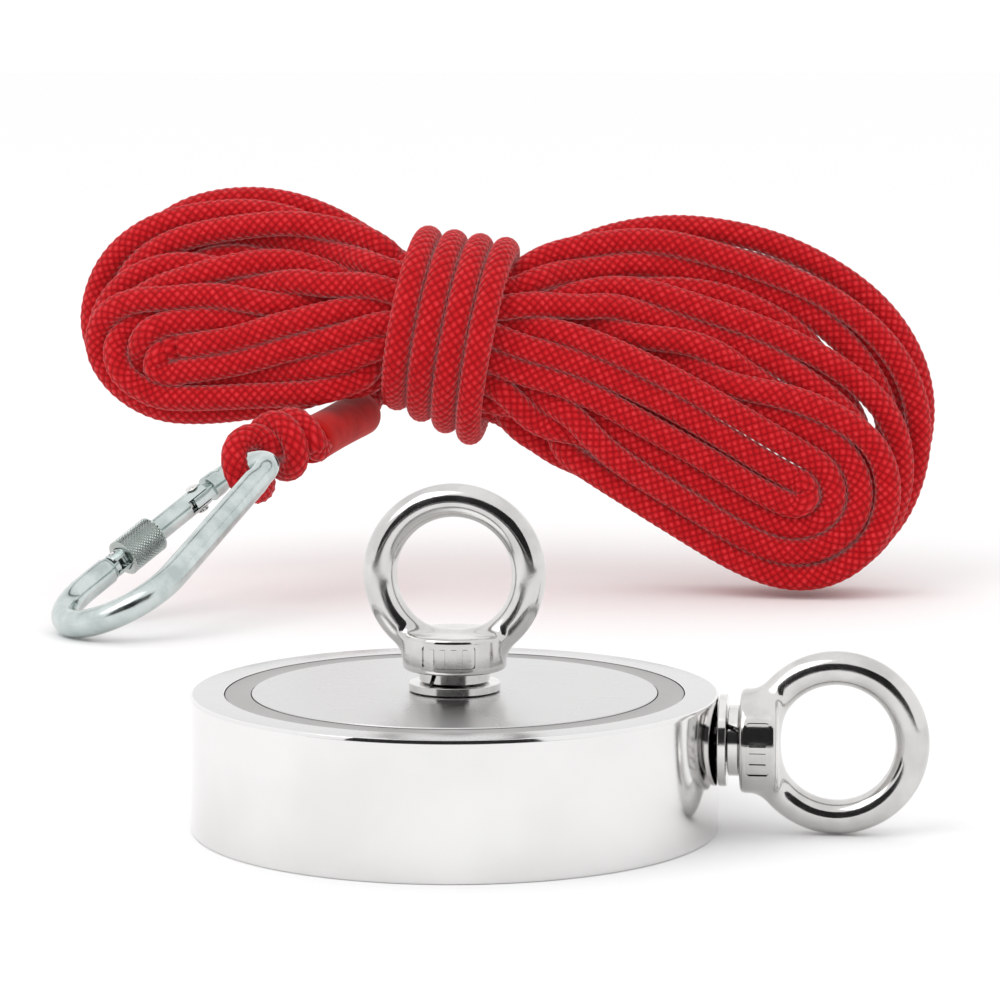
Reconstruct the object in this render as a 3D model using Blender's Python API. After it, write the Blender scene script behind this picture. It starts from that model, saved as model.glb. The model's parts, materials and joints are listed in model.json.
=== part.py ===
# A double-sided magnet fishing magnet with two eye bolts, its rope in a tied hank, and the
# screw-lock carabiner knotted to the rope's end. Metres, +Z up, origin at the centre of the
# magnet's lower face. The side eye bolt points along +X and the hank stands behind, at +Y.
import bmesh
import bpy
from math import acos, asin, atan2, cos, pi, radians, sin, sqrt
from mathutils import Matrix, Vector

GAP = 0.0003  # between pieces that touch on the real object

# Magnet
HOUSING_RADIUS = 0.075
HOUSING_HEIGHT = 0.039
RIM_WALL = 0.0097
RIM_CHAMFER = 0.0008
UPPER_PLATE = 0.003
UPPER_RING = 0.0019
LOWER_PLATE = 0.0052
LOWER_RING = 0.0077
RESIN_WIDTH = 0.0072
RESIN_SINK = 0.0004
RING_MAGNET_BORE = 0.009

# Eye bolts, both of one size
SHANK_RADIUS = 0.00585
SHANK_LENGTH = 0.0205
COLLAR_RADIUS = 0.01475
COLLAR_HEIGHT = 0.0106
COLLAR_ROUND = 0.0014
EYE_RADIUS = 0.026
EYE_BAR = 0.0096
EYE_SINK = 0.0001  # how far the ring's bar reaches below the collar's top
FLAT_WASHER_RADIUS = 0.013
FLAT_WASHER = 0.0023
SPRING_WASHER_RADIUS = 0.010
SPRING_WASHER = 0.0031
WASHER_PLAY = 0.0005
WASHER_SPLIT = 0.0014
SPLIT_SLANT = radians(25)
SPLIT_HEADING = radians(-28)
SHANK_CHAMFER = 0.001
COLLAR_ROUND_STEPS = 3
HOLE_SPARE = 0.0015
SIDE_BOLT_HEIGHT = 0.0263

# Rope hank
ROPE_DIAMETER = 0.0105
HANK_CENTRE = Vector((-0.060, 0.450, 0.100))
HANK_TILT = radians(8)
WRAP_TURNS = 4
WRAP_INNER_HEIGHT = 0.035
WRAP_INNER_DEPTH = 0.028
# Along the hank from its left end: place, middle, half height, half depth, all by hand
HANK_STATIONS = (
    (-0.1510, -0.0200, 0.000, 0.000),
    (-0.1490, -0.0190, 0.016, 0.010),
    (-0.1400, -0.0130, 0.034, 0.017),
    (-0.1240, -0.0055, 0.045, 0.021),
    (-0.0900, -0.0010, 0.0455, 0.0225),
    (-0.0550, 0.0040, 0.042, 0.0225),
    (-0.0340, 0.0020, 0.037, 0.0240),
    (-0.0240, 0.0000, 0.0345, 0.0275),
    (0.0240, 0.0000, 0.0345, 0.0275),
    (0.0360, -0.0010, 0.041, 0.0240),
    (0.0750, 0.0010, 0.055, 0.0225),
    (0.1100, -0.0050, 0.065, 0.0225),
    (0.1400, -0.0120, 0.065, 0.0215),
    (0.1650, -0.0155, 0.0600, 0.020),
    (0.1850, -0.0130, 0.046, 0.017),
    (0.1970, -0.0080, 0.024, 0.011),
    (0.2015, -0.0030, 0.000, 0.000),
)
# The lead leaves the wraps at the back of the hank and runs down to the knot
LEAD_BACK = 0.0255  # from the hank's centre
LEAD_DROP = 0.0260
LEAD_POINTS = (
    Vector((-0.0897, 0.4755, 0.0779)),
    Vector((-0.0938, 0.4768, 0.0760)),
)
TUBE_START = Vector((-0.0985, 0.4660, 0.0690))
TUBE_END = Vector((-0.1120, 0.4150, 0.0625))
TUBE_RADIUS = 0.0096
TUBE_CHAMFER = 0.0012
TUBE_APPROACH = 0.006
KNOT_PLACE = 0.0155  # middle of the knot's coils, from the carabiner's bar towards the tube
KNOT_HALF = Vector((0.0100, 0.0160, 0.0140))

# Carabiner
CARABINER_X = -0.134  # centre of its narrow end, seen from above
CARABINER_Y = 0.3815
CARABINER_LENGTH = 0.124
CARABINER_BAR = 0.0104
NARROW_END_RADIUS = 0.0122
WIDE_END_RADIUS = 0.0245
CARABINER_HEADING = radians(241.8)
CARABINER_DESCENT = radians(26.1)
CARABINER_ROLL = radians(12.6)
BAR_SHOULDER = 0.0063
PIVOT_PLACE = 0.013
TONGUE_THICKNESS = 0.0044
TONGUE_HALF = 0.004
GATE_RADIUS = 0.0046
GATE_START = 0.009
GATE_END = 0.0615
GATE_CHAMFER = 0.0004
FORK_SPARE = 0.0027
SUNK_ROOT = 0.002  # overlap of two shapes that make one piece
SLOT_DEPTH = 0.007
CHAMBER_RADIUS = 0.0026
CHAMBER_END = 0.044
RIVET_RADIUS = 0.0015
RIVET_HEAD_RADIUS = 0.0024
RIVET_HEAD = 0.0008
NOSE_SPIGOT = 0.0018
NOSE_GAP = 0.0008
HOOK_THICKNESS = 0.0036
HOOK_HALF = 0.0036
HOOK_REACH = 0.006
LATCH_PIN_RADIUS = 0.0011
LATCH_PLACE = 0.0030
SLEEVE_RADIUS = 0.0073
SLEEVE_LENGTH = 0.0176
SLEEVE_TRAVEL = 0.008
SLEEVE_COVER = 0.0013  # how far the screwed-down sleeve reaches over the nose
SLEEVE_CHAMFER = 0.0005
PLUNGER_RADIUS = 0.0023
PLUNGER_LENGTH = 0.0057
PLUNGER_CHAMFER = 0.0003
PLUNGER_TRAVEL = 0.0014
SPRING_WIRE = 0.0004
SPRING_RADIUS = 0.0018
SPRING_TURNS = 7
TURN_POINTS = 10

# Worked out from the sizes above
RIM_INNER = HOUSING_RADIUS - RIM_WALL
PLATE_RADIUS = RIM_INNER - GAP - RESIN_WIDTH - GAP
WEB_LOW = LOWER_PLATE + GAP + LOWER_RING + GAP
WEB_HIGH = HOUSING_HEIGHT - UPPER_PLATE - GAP - UPPER_RING - GAP
WASHER_STACK = GAP + FLAT_WASHER + GAP + SPRING_WASHER + GAP
EYE_CENTRE = COLLAR_HEIGHT - EYE_SINK + EYE_RADIUS - EYE_BAR  # above the collar's underside
HOLE_RADIUS = SHANK_RADIUS + GAP
BAR_RADIUS = CARABINER_BAR / 2
PEAR_LENGTH = CARABINER_LENGTH - CARABINER_BAR - NARROW_END_RADIUS - WIDE_END_RADIUS
PEAR_ANGLE = asin((WIDE_END_RADIUS - NARROW_END_RADIUS) / PEAR_LENGTH)
GATE_LINE = sqrt(PEAR_LENGTH**2 - (WIDE_END_RADIUS - NARROW_END_RADIUS) ** 2)
TONGUE_END = PIVOT_PLACE + TONGUE_HALF
SHOULDER_PLACE = GATE_END + NOSE_GAP


# Scene and material helpers
def clear_scene():
    for obj in list(bpy.data.objects):
        bpy.data.objects.remove(obj)


def material(name, colour, roughness, metallic):
    made = bpy.data.materials.new(name)
    made.use_nodes = True
    shader = made.node_tree.nodes["Principled BSDF"]
    shader.inputs["Base Color"].default_value = (*colour, 1)
    shader.inputs["Roughness"].default_value = roughness
    shader.inputs["Metallic"].default_value = metallic
    return made


def add_part(name, bm, finish, place=Matrix.Identity(4)):
    """Closes the mesh, turns its faces out, and places it."""
    bmesh.ops.remove_doubles(bm, verts=bm.verts, dist=1e-6)
    bmesh.ops.recalc_face_normals(bm, faces=bm.faces)
    mesh = bpy.data.meshes.new(name)
    bm.to_mesh(mesh)
    bm.free()
    mesh.shade_smooth()
    mesh.set_sharp_from_angle(angle=radians(35))
    obj = bpy.data.objects.new(name, mesh)
    bpy.context.collection.objects.link(obj)
    obj.matrix_world = place
    if finish:
        mesh.materials.append(finish)
    return obj


def as_cutter(obj):
    obj.hide_render = True
    obj.display_type = "WIRE"
    return obj


def combine(obj, other, operation):
    step = obj.modifiers.new(operation.title() + " " + other.name, "BOOLEAN")
    step.operation = operation
    step.object = as_cutter(other)


# Shape helpers
def spun(outline, steps):
    """Turns an (r, z) outline round the Z axis. A closed outline gives a ring."""
    bm = bmesh.new()
    points = [bm.verts.new((r, 0, z)) for r, z in outline]
    pairs = list(zip(points, points[1:]))
    if outline[0][0] > 0:
        pairs.append((points[-1], points[0]))
    edges = [bm.edges.new(pair) for pair in pairs]
    bmesh.ops.spin(
        bm, geom=points + edges, axis=(0, 0, 1), cent=(0, 0, 0), steps=steps, angle=2 * pi
    )
    return bm


def ring_outline(inner, outer, low, high, chamfer=0.0):
    if not chamfer:
        return [(inner, low), (outer, low), (outer, high), (inner, high)]
    return [
        (inner + chamfer, low), (outer - chamfer, low), (outer, low + chamfer),
        (outer, high - chamfer), (outer - chamfer, high), (inner + chamfer, high),
        (inner, high - chamfer), (inner, low + chamfer),
    ]


def rod_outline(radius, low, high, chamfer=0.0):
    if not chamfer:
        return [(0, low), (radius, low), (radius, high), (0, high)]
    return [
        (0, low), (radius - chamfer, low), (radius, low + chamfer),
        (radius, high - chamfer), (radius - chamfer, high), (0, high),
    ]


def box(low, high):
    bm = bmesh.new()
    size = Vector(high) - Vector(low)
    bmesh.ops.create_cube(bm, size=1)
    bmesh.ops.scale(bm, vec=size, verts=bm.verts)
    bmesh.ops.translate(bm, vec=(Vector(low) + Vector(high)) / 2, verts=bm.verts)
    return bm


def torus(radius, bar, steps, sides):
    outline = []
    for i in range(sides):
        turn = 2 * pi * i / sides
        outline.append((radius + bar * cos(turn), bar * sin(turn)))
    return spun(outline, steps)


def bent_bar(name, points, radius, resolution, finish=None):
    """A round bar along the points, with flat filled ends."""
    curve = bpy.data.curves.new(name, "CURVE")
    curve.dimensions = "3D"
    curve.bevel_depth = radius
    curve.bevel_resolution = resolution
    curve.use_fill_caps = True
    spline = curve.splines.new("POLY")
    spline.points.add(len(points) - 1)
    for knot, point in zip(spline.points, points):
        knot.co = (*point, 1)
    obj = bpy.data.objects.new(name, curve)
    bpy.context.collection.objects.link(obj)
    if finish:
        curve.materials.append(finish)
    return obj


def as_mesh(obj, finish=None):
    """Replaces a curve object by a mesh object of the same shape."""
    bpy.context.view_layer.update()
    graph = bpy.context.evaluated_depsgraph_get()
    mesh = bpy.data.meshes.new_from_object(obj.evaluated_get(graph))
    made = bpy.data.objects.new(obj.name + "_solid", mesh)
    bpy.context.collection.objects.link(made)
    bpy.data.objects.remove(obj)
    mesh.materials.clear()
    if finish:
        mesh.materials.append(finish)
    return made


# Magnet
def side_place():
    """Where the side eye bolt goes in: Z points out of the housing along +X."""
    return Matrix.Translation((HOUSING_RADIUS, 0, SIDE_BOLT_HEIGHT)) @ Matrix.Rotation(pi / 2, 4, "Y")


def make_housing(steel):
    """The steel body: a rim round a thick web, with a recess above and below."""
    chamfer = RIM_CHAMFER
    outline = [
        (0, WEB_LOW), (RIM_INNER, WEB_LOW), (RIM_INNER, 0), (HOUSING_RADIUS - chamfer, 0),
        (HOUSING_RADIUS, chamfer), (HOUSING_RADIUS, HOUSING_HEIGHT - chamfer),
        (HOUSING_RADIUS - chamfer, HOUSING_HEIGHT), (RIM_INNER, HOUSING_HEIGHT),
        (RIM_INNER, WEB_HIGH), (0, WEB_HIGH),
    ]
    housing = add_part("pot_housing", spun(outline, 64), steel)
    reach = SHANK_LENGTH - WASHER_STACK + HOLE_SPARE
    top_floor = HOUSING_HEIGHT - reach
    top_hole = spun(rod_outline(HOLE_RADIUS, top_floor, HOUSING_HEIGHT + GAP), 24)
    combine(housing, add_part("top_hole", top_hole, None), "DIFFERENCE")
    side_hole = spun(rod_outline(HOLE_RADIUS, -reach, 2 * reach), 24)
    combine(housing, add_part("side_hole", side_hole, None, side_place()), "DIFFERENCE")


def make_magnet_stacks(steel, magnet, resin):
    """Ring magnet, pole plate and resin seal of each side."""
    resin_inner = PLATE_RADIUS + GAP
    resin_outer = RIM_INNER - GAP
    ring_low = WEB_HIGH + GAP
    plate_low = HOUSING_HEIGHT - UPPER_PLATE
    bolt_hole = SHANK_RADIUS + 3 * GAP
    ring = ring_outline(RING_MAGNET_BORE, PLATE_RADIUS, ring_low, ring_low + UPPER_RING)
    add_part("upper_ring_magnet", spun(ring, 40), magnet)
    plate = ring_outline(bolt_hole, PLATE_RADIUS, plate_low, HOUSING_HEIGHT)
    add_part("upper_pole_plate", spun(plate, 56), steel)
    seal = ring_outline(resin_inner, resin_outer, ring_low, HOUSING_HEIGHT - RESIN_SINK)
    add_part("upper_resin_ring", spun(seal, 56), resin)
    ring = ring_outline(RING_MAGNET_BORE, PLATE_RADIUS, LOWER_PLATE + GAP, WEB_LOW - GAP)
    add_part("lower_ring_magnet", spun(ring, 40), magnet)
    add_part("lower_pole_plate", spun(rod_outline(PLATE_RADIUS, 0, LOWER_PLATE), 56), steel)
    seal = ring_outline(resin_inner, resin_outer, RESIN_SINK, WEB_LOW - GAP)
    add_part("lower_resin_ring", spun(seal, 56), resin)


# Eye bolts
def make_washers(side, place, steel):
    """A flat washer on the magnet and a split spring washer on that."""
    inner = SHANK_RADIUS + WASHER_PLAY
    flat = ring_outline(inner, FLAT_WASHER_RADIUS, GAP, GAP + FLAT_WASHER)
    add_part(side + "_flat_washer", spun(flat, 32), steel, place)
    low = 2 * GAP + FLAT_WASHER
    split = ring_outline(inner, SPRING_WASHER_RADIUS, low, low + SPRING_WASHER)
    washer = add_part(side + "_spring_washer", spun(split, 32), steel, place)
    reach = 2 * SPRING_WASHER_RADIUS
    half = WASHER_SPLIT / 2
    lean = Matrix.Rotation(SPLIT_SLANT, 4, "Y") @ Matrix.Rotation(SPLIT_HEADING, 4, "Z")
    at = place @ Matrix.Translation((0, 0, low + SPRING_WASHER / 2)) @ lean
    cut = add_part(side + "_washer_split", box((-half, -reach, -reach), (half, 0, reach)), None, at)
    combine(washer, cut, "DIFFERENCE")


def collar_outline():
    """Shank, underside, rounded collar edge and flat top, from below."""
    tip = -SHANK_LENGTH
    outline = [
        (0, tip), (SHANK_RADIUS - SHANK_CHAMFER, tip), (SHANK_RADIUS, tip + SHANK_CHAMFER),
        (SHANK_RADIUS, 0),
    ]
    for centre_z, start in ((COLLAR_ROUND, -pi / 2), (COLLAR_HEIGHT - COLLAR_ROUND, 0)):
        for i in range(COLLAR_ROUND_STEPS + 1):
            turn = start + pi / 2 * i / COLLAR_ROUND_STEPS
            across = COLLAR_RADIUS - COLLAR_ROUND + COLLAR_ROUND * cos(turn)
            outline.append((across, centre_z + COLLAR_ROUND * sin(turn)))
    outline.append((0, COLLAR_HEIGHT))
    return outline


def make_eye_bolt(side, place, steel):
    """A lifting eye bolt: threaded shank, round collar and ring in one forging."""
    bolt = add_part(side + "_eye_bolt", spun(collar_outline(), 36), steel, place)
    ring = torus(EYE_RADIUS - EYE_BAR / 2, EYE_BAR / 2, 40, 12)
    stand = place @ Matrix.Translation((0, 0, EYE_CENTRE)) @ Matrix.Rotation(pi / 2, 4, "X")
    combine(bolt, add_part(side + "_eye_ring", ring, None, stand), "UNION")


# Rope
def hank_frame():
    return Matrix.Translation(HANK_CENTRE) @ Matrix.Rotation(HANK_TILT, 4, "Y")


def hank_section(count):
    """Place, middle, half height and half depth of the hank, so many stations along it."""
    index = min(int(count), len(HANK_STATIONS) - 2)
    part = count - index
    return [a + (b - a) * part for a, b in zip(HANK_STATIONS[index], HANK_STATIONS[index + 1])]


def make_hank_bundle(rope):
    """The outer shape of all the loops: a sphere drawn out along the hank's stations."""
    spans = len(HANK_STATIONS) - 1
    bm = bmesh.new()
    bmesh.ops.create_uvsphere(bm, u_segments=20, v_segments=2 * spans, radius=1)
    for vert in bm.verts:
        count = spans * (1 - acos(max(-1, min(1, vert.co.z))) / pi)
        place, middle, half_height, half_depth = hank_section(count)
        turn = atan2(vert.co.y, vert.co.x)
        vert.co = (place, sin(turn) * half_depth, middle + cos(turn) * half_height)
    bundle = add_part("hank_bundle", bm, rope, hank_frame())
    room = spun(rod_outline(TUBE_RADIUS + GAP, -GAP, (TUBE_END - TUBE_START).length + GAP), 20)
    combine(bundle, add_part("tube_room", room, None, tube_frame()), "DIFFERENCE")


def make_hank_wraps(rope):
    """The turns side by side that tie the hank, as one oval band round its waist."""
    half_width = WRAP_TURNS * ROPE_DIAMETER / 2
    outer = WRAP_INNER_HEIGHT + ROPE_DIAMETER
    ease = ROPE_DIAMETER / 5
    outline = ring_outline(WRAP_INNER_HEIGHT, outer, -half_width, half_width, ease)
    bm = spun(outline, 40)
    for vert in bm.verts:
        across = sqrt(vert.co.x**2 + vert.co.y**2)
        vert.co.y *= (WRAP_INNER_DEPTH + across - WRAP_INNER_HEIGHT) / across
    add_part("hank_wraps", bm, rope, hank_frame() @ Matrix.Rotation(pi / 2, 4, "Y"))


def tube_frame():
    """Origin at the tube's end by the lead, Z along it to the knot."""
    way = TUBE_END - TUBE_START
    return Matrix.Translation(TUBE_START) @ way.to_track_quat("Z", "Y").to_matrix().to_4x4()


def make_lead(rope, plastic):
    """The rope from the wraps to the knot, and the shrink tube over its doubled end."""
    way = TUBE_END - TUBE_START
    into_tube = [TUBE_START - way.normalized() * before for before in (TUBE_APPROACH, GAP)]
    beside_wraps = -(WRAP_TURNS * ROPE_DIAMETER / 2 + GAP)
    start = hank_frame() @ Vector((beside_wraps, LEAD_BACK, -LEAD_DROP))
    bent_bar("rope_lead", [start, *LEAD_POINTS, *into_tube], ROPE_DIAMETER / 2, 2, rope)
    outline = rod_outline(TUBE_RADIUS, 0, way.length, TUBE_CHAMFER)
    add_part("shrink_tube", spun(outline, 20), plastic, tube_frame())


def neck_frame():
    """Origin on the bar at the carabiner's narrow end, X along the knot's neck to the tube."""
    bar = carabiner_frame() @ Vector((-NARROW_END_RADIUS, 0, 0))
    way = TUBE_END - bar
    return Matrix.Translation(bar) @ way.to_track_quat("X", "Z").to_matrix().to_4x4()


def make_knot(rope):
    """A lump for the knot's coils, and the loop of rope that holds the carabiner."""
    bm = bmesh.new()
    bmesh.ops.create_uvsphere(bm, u_segments=16, v_segments=10, radius=1)
    lump = neck_frame() @ Matrix.Translation((KNOT_PLACE, 0, 0)) @ Matrix.Diagonal((*KNOT_HALF, 1))
    knot = add_part("rope_knot", bm, rope, lump)
    loop = torus(NARROW_END_RADIUS, ROPE_DIAMETER / 2 - GAP, 20, 10)
    hang = carabiner_frame() @ Matrix.Translation((-NARROW_END_RADIUS, 0, 0))
    combine(knot, add_part("knot_loop", loop, None, hang @ Matrix.Rotation(pi / 2, 4, "X")), "UNION")
    free = BAR_RADIUS + GAP
    around = ring_outline(NARROW_END_RADIUS - free, NARROW_END_RADIUS + free, -free, free)
    room = add_part("knot_bow_room", spun(around, 32), None, carabiner_frame())
    combine(knot, room, "DIFFERENCE")


# Carabiner. Its own frame has the narrow end's centre at the origin, X towards the wide end,
# Y towards the gate, and Z along the pins.
def carabiner_frame():
    heading = Matrix.Rotation(CARABINER_HEADING, 4, "Z")
    descent = Matrix.Rotation(CARABINER_DESCENT, 4, "Y")
    roll = Matrix.Rotation(CARABINER_ROLL, 4, "X")
    turn = heading @ descent @ roll @ Matrix.Rotation(pi, 4, "X")
    lowest = turn.to_3x3().row[2]
    drop = PEAR_LENGTH * lowest[0] - WIDE_END_RADIUS * sqrt(lowest[0] ** 2 + lowest[1] ** 2)
    height = BAR_RADIUS + GAP - drop
    return Matrix.Translation((CARABINER_X, CARABINER_Y, height)) @ turn


def gate_frame():
    """Origin at the narrow end of the straight gate line, X along it, Y outwards."""
    start = Vector((-NARROW_END_RADIUS * sin(PEAR_ANGLE), NARROW_END_RADIUS * cos(PEAR_ANGLE), 0))
    return carabiner_frame() @ Matrix.Translation(start) @ Matrix.Rotation(PEAR_ANGLE, 4, "Z")


def along_gate(place):
    """Turns a piece spun about Z so that it lies on the gate line from the place on."""
    return gate_frame() @ Matrix.Translation((place, 0, 0)) @ Matrix.Rotation(pi / 2, 4, "Y")


def bow(centre_x, radius, start, end, steps):
    points = []
    for i in range(steps + 1):
        turn = start + (end - start) * i / steps
        points.append(Vector((centre_x + radius * cos(turn), radius * sin(turn), 0)))
    return points


def make_carabiner_body(zinc):
    """The bent bar, open at the gate, with a flat tongue for the hinge and a hook on the nose."""
    square = pi / 2 + PEAR_ANGLE
    narrow = bow(0, NARROW_END_RADIUS, square, 2 * pi - square, 14)
    wide = bow(PEAR_LENGTH, WIDE_END_RADIUS, -square, square, 18)
    along = Vector((cos(PEAR_ANGLE), sin(PEAR_ANGLE), 0))
    hinge_end = narrow[0] + along * BAR_SHOULDER
    nose_end = narrow[0] + along * (SHOULDER_PLACE + NOSE_SPIGOT)
    bar = bent_bar("bar_path", [hinge_end] + narrow + wide + [nose_end], BAR_RADIUS, 2)
    body = as_mesh(bar, zinc)
    body.name = "carabiner_body"
    body.matrix_world = carabiner_frame()
    thick = TONGUE_THICKNESS / 2
    root = BAR_SHOULDER - SUNK_ROOT
    tongue = box((root, -TONGUE_HALF, -thick), (TONGUE_END, TONGUE_HALF, thick))
    combine(body, add_part("hinge_tongue", tongue, None, gate_frame()), "UNION")
    hole = spun(rod_outline(RIVET_RADIUS + GAP, -BAR_RADIUS, BAR_RADIUS), 16)
    pivot = gate_frame() @ Matrix.Translation((PIVOT_PLACE, 0, 0))
    combine(body, add_part("tongue_hole", hole, None, pivot), "DIFFERENCE")
    spigot = spun(rod_outline(GATE_RADIUS, 0, NOSE_SPIGOT + SUNK_ROOT), 24)
    combine(body, add_part("nose_spigot", spigot, None, along_gate(SHOULDER_PLACE)), "UNION")
    thick = HOOK_THICKNESS / 2
    hook_end = SHOULDER_PLACE - HOOK_REACH
    root = SHOULDER_PLACE + SUNK_ROOT
    hook = box((hook_end, -HOOK_HALF, -thick), (root, HOOK_HALF, thick))
    combine(body, add_part("nose_hook", hook, None, gate_frame()), "UNION")
    room = LATCH_PIN_RADIUS + GAP
    latch = GATE_END - LATCH_PLACE
    notch = box((latch - room, -BAR_RADIUS, -BAR_RADIUS), (latch + room, room, BAR_RADIUS))
    combine(body, add_part("hook_notch", notch, None, gate_frame()), "DIFFERENCE")


def make_gate(zinc):
    """The gate tube: forked over the tongue, bored for its spring, slotted over the hook."""
    length = GATE_END - GATE_START
    outline = rod_outline(GATE_RADIUS, 0, length, GATE_CHAMFER)
    gate = add_part("gate_tube", spun(outline, 24), zinc, along_gate(GATE_START))
    reach = 2 * GATE_RADIUS
    slot = TONGUE_THICKNESS / 2 + GAP
    slot_end = TONGUE_END + GAP + FORK_SPARE
    fork = box((0, -reach, -slot), (slot_end, reach, slot))
    combine(gate, add_part("fork_slot", fork, None, gate_frame()), "DIFFERENCE")
    mouth = slot_end - SUNK_ROOT
    bore = spun(rod_outline(CHAMBER_RADIUS, 0, CHAMBER_END - mouth), 20)
    chamber = add_part("spring_chamber", bore, None, along_gate(mouth))
    combine(gate, chamber, "DIFFERENCE")
    slot = HOOK_THICKNESS / 2 + GAP
    latch = box((GATE_END - SLOT_DEPTH, -reach, -slot), (GATE_END + reach, reach, slot))
    combine(gate, add_part("latch_slot", latch, None, gate_frame()), "DIFFERENCE")
    for name, radius, place in (
        ("rivet_hole", RIVET_RADIUS, PIVOT_PLACE),
        ("latch_hole", LATCH_PIN_RADIUS, GATE_END - LATCH_PLACE),
    ):
        hole = spun(rod_outline(radius + GAP, -reach, reach), 16)
        at = gate_frame() @ Matrix.Translation((place, 0, 0))
        combine(gate, add_part(name, hole, None, at), "DIFFERENCE")


def make_pins(steel):
    """The hinge rivet with its two heads, and the plain pin that the hook catches."""
    stem, head = GATE_RADIUS + GAP, GATE_RADIUS + GAP + RIVET_HEAD
    outline = [
        (0, -head), (RIVET_HEAD_RADIUS, -head), (RIVET_HEAD_RADIUS, -stem), (RIVET_RADIUS, -stem),
        (RIVET_RADIUS, stem), (RIVET_HEAD_RADIUS, stem), (RIVET_HEAD_RADIUS, head), (0, head),
    ]
    at = gate_frame() @ Matrix.Translation((PIVOT_PLACE, 0, 0))
    add_part("hinge_rivet", spun(outline, 16), steel, at)
    half = sqrt(GATE_RADIUS**2 - LATCH_PIN_RADIUS**2)
    at = gate_frame() @ Matrix.Translation((GATE_END - LATCH_PLACE, 0, 0))
    add_part("latch_pin", spun(rod_outline(LATCH_PIN_RADIUS, -half, half), 12), steel, at)


def make_sleeve(zinc):
    """The screw sleeve, run back along the gate so that the gate can open."""
    inner = GATE_RADIUS + GAP
    start = GATE_END - SLEEVE_LENGTH - (SLEEVE_TRAVEL - NOSE_GAP - SLEEVE_COVER)
    outline = ring_outline(inner, SLEEVE_RADIUS, 0, SLEEVE_LENGTH, SLEEVE_CHAMFER)
    add_part("locking_sleeve", spun(outline, 28), zinc, along_gate(start))


def make_gate_spring(steel):
    """The plunger that bears on the tongue, and the coil spring behind it."""
    start = TONGUE_END + GAP
    outline = rod_outline(PLUNGER_RADIUS, 0, PLUNGER_LENGTH, PLUNGER_CHAMFER)
    add_part("spring_plunger", spun(outline, 16), steel, along_gate(start))
    low = start + PLUNGER_LENGTH + PLUNGER_TRAVEL + GAP + SPRING_WIRE
    high = CHAMBER_END - GAP - SPRING_WIRE
    points = []
    count = SPRING_TURNS * TURN_POINTS
    for i in range(count + 1):
        turn = 2 * pi * i / TURN_POINTS
        height = (high - low) * i / count
        points.append(Vector((SPRING_RADIUS * cos(turn), SPRING_RADIUS * sin(turn), height)))
    spring = bent_bar("gate_spring", points, SPRING_WIRE, 0, steel)
    spring.matrix_world = along_gate(low)


def main():
    clear_scene()
    nickel = material("polished_nickel", (0.80, 0.79, 0.78), 0.08, 1)
    plate = material("satin_nickel", (0.72, 0.71, 0.70), 0.22, 1)
    magnet = material("sintered_magnet", (0.25, 0.25, 0.26), 0.45, 0.8)
    resin = material("grey_resin", (0.42, 0.41, 0.41), 0.45, 0)
    steel = material("stainless_steel", (0.62, 0.60, 0.58), 0.16, 1)
    zinc = material("zinc_plate", (0.60, 0.63, 0.63), 0.22, 1)
    rope = material("braided_rope", (0.55, 0.01, 0.02), 0.55, 0)
    plastic = material("shrink_plastic", (0.70, 0.03, 0.02), 0.30, 0)

    make_housing(nickel)
    make_magnet_stacks(plate, magnet, resin)
    upright = Matrix.Translation((0, 0, HOUSING_HEIGHT))
    sideways = side_place()
    stack = Matrix.Translation((0, 0, WASHER_STACK))
    for side, place in (("top", upright), ("side", sideways)):
        make_washers(side, place, steel)
        make_eye_bolt(side, place @ stack, steel)
    make_hank_bundle(rope)
    make_hank_wraps(rope)
    make_lead(rope, plastic)
    make_knot(rope)
    make_carabiner_body(zinc)
    make_gate(zinc)
    make_pins(steel)
    make_sleeve(zinc)
    make_gate_spring(steel)


main()
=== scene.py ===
import bmesh
import bpy
import json
import math
import numpy as np
from mathutils import Matrix, Vector


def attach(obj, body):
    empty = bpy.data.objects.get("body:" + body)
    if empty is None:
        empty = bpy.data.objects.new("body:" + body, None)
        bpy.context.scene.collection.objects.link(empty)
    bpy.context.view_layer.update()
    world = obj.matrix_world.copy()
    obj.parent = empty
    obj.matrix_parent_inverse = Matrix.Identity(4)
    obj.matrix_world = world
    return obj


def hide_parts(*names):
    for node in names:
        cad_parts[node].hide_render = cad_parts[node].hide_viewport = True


# magnet fishing magnet with two eye bolts, a tied hank of braided rope and a screw-lock carabiner
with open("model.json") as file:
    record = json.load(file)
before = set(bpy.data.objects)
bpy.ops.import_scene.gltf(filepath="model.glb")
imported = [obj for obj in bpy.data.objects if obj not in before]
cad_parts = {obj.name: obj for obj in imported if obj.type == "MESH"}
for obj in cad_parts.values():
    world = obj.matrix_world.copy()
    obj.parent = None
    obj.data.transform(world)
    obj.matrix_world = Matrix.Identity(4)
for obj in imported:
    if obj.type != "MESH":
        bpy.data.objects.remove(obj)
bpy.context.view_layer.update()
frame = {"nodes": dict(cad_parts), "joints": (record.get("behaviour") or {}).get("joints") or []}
nodes = frame["nodes"]


def deselectAll():
    if bpy.context.mode != "OBJECT":
        bpy.ops.object.mode_set(mode="OBJECT")
    bpy.ops.object.select_all(action="DESELECT")


def pick(piece, *others):
    deselectAll()
    for each in (*others, piece):
        each.select_set(True)
    bpy.context.view_layer.objects.active = piece


def editAll():
    bpy.ops.object.mode_set(mode="EDIT")
    bpy.ops.mesh.select_all(action="SELECT")


def closeMesh():
    # faces turned out, back to object mode
    bpy.ops.mesh.select_all(action="SELECT")
    bpy.ops.mesh.normals_make_consistent(inside=False)
    bpy.ops.object.mode_set(mode="OBJECT")


# camera
cameraSetup = {"place": (0.1315, -1.0230, 0.2248), "heading": 6.61, "pitch": 7.26, "lens": 132.7}


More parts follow.
